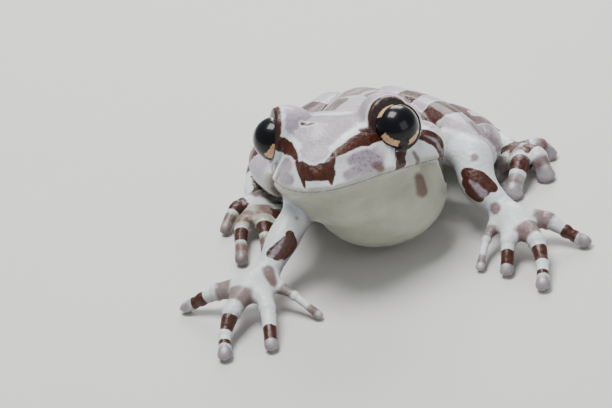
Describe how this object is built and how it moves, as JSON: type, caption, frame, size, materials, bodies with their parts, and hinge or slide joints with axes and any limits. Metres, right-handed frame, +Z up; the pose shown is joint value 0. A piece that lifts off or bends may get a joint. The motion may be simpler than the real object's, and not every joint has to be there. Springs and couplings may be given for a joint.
{
  "type": "amazon milk frog",
  "caption": "Still, life-size model of a young tree frog sitting with its head raised and turned and its padded hands spread on the floor.",
  "frame": {"origin": "middle of the bounding box at floor level, under the chest", "axes": "+Z up, -Y the way the body faces, +X the frog's left"},
  "size_m": [0.0455, 0.0476, 0.0189],
  "materials": {
    "frog_skin": "moist smooth skin, pale lilac grey with large brown patches edged in white",
    "throat_skin": "moist smooth skin, cream white",
    "eye": "wet glossy black with small gold patches in the iris"
  },
  "bodies": {
    "root": {"head": "frog_skin", "lower_jaw": "throat_skin", "eye_left": "eye", "eye_right": "eye", "trunk": "frog_skin", "upper_arm_left": "frog_skin", "forearm_left": "frog_skin", "hand_left": "frog_skin", "thigh_left": "frog_skin", "shank_left": "frog_skin", "tarsus_left": "frog_skin", "foot_left": "frog_skin", "upper_arm_right": "frog_skin", "forearm_right": "frog_skin", "hand_right": "frog_skin", "thigh_right": "frog_skin", "shank_right": "frog_skin", "tarsus_right": "frog_skin", "foot_right": "frog_skin"}
  },
  "joints": []
}
